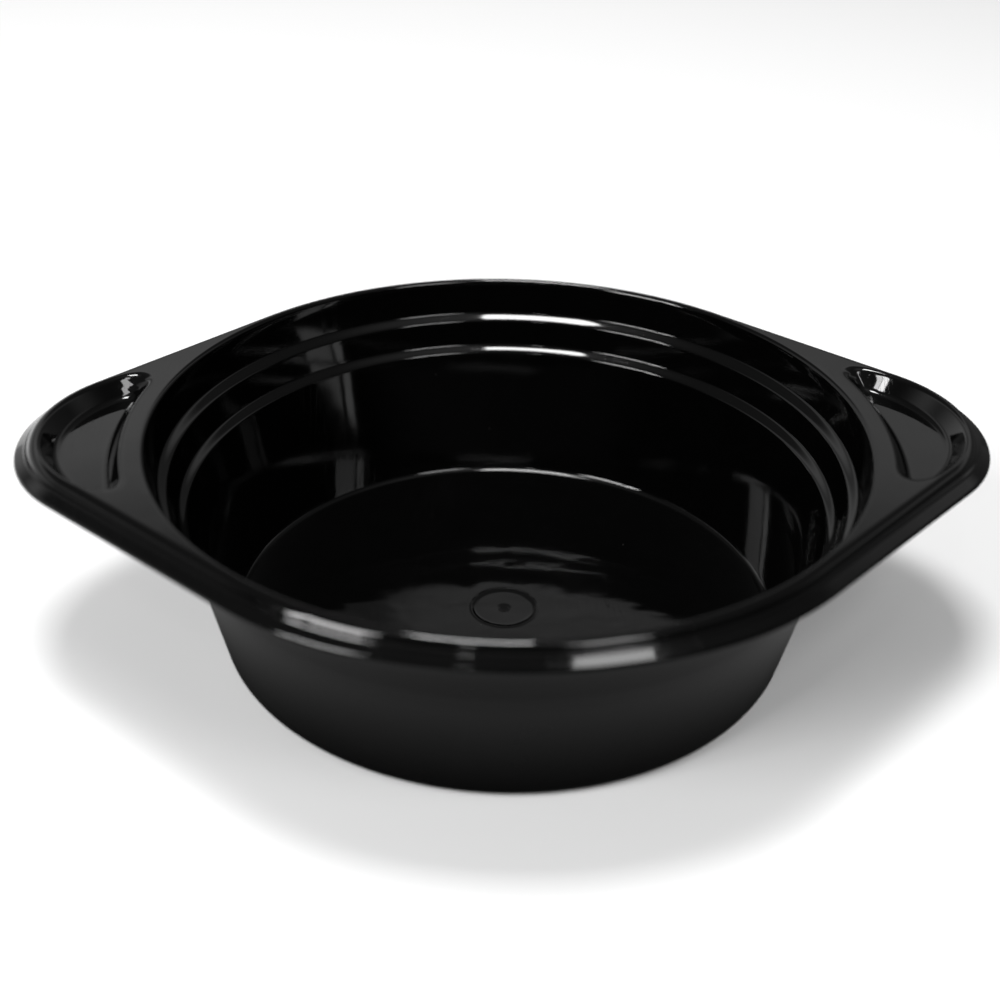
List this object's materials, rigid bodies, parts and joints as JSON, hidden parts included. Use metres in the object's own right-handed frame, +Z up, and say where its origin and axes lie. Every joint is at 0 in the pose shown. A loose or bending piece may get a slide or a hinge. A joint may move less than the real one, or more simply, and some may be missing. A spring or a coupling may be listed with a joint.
{
  "type": "hair color bowl",
  "caption": "Shallow round mixing bowl in glossy plastic with stepped inner ledges, a turned-down rim and a flat grip lug with a sunk thumb rest on each side.",
  "frame": {"origin": "centre of the underside, on the plane the bowl rests on", "axes": "+Z up out of the opening, +X through the middle of one grip lug, +Y across the bowl between the lugs"},
  "size_m": [0.1772, 0.1408, 0.0422],
  "materials": {
    "bowl_plastic": "high-gloss black moulded plastic, slightly softer on the outside wall"
  },
  "bodies": {
    "root": {"bowl": "bowl_plastic"}
  },
  "joints": []
}
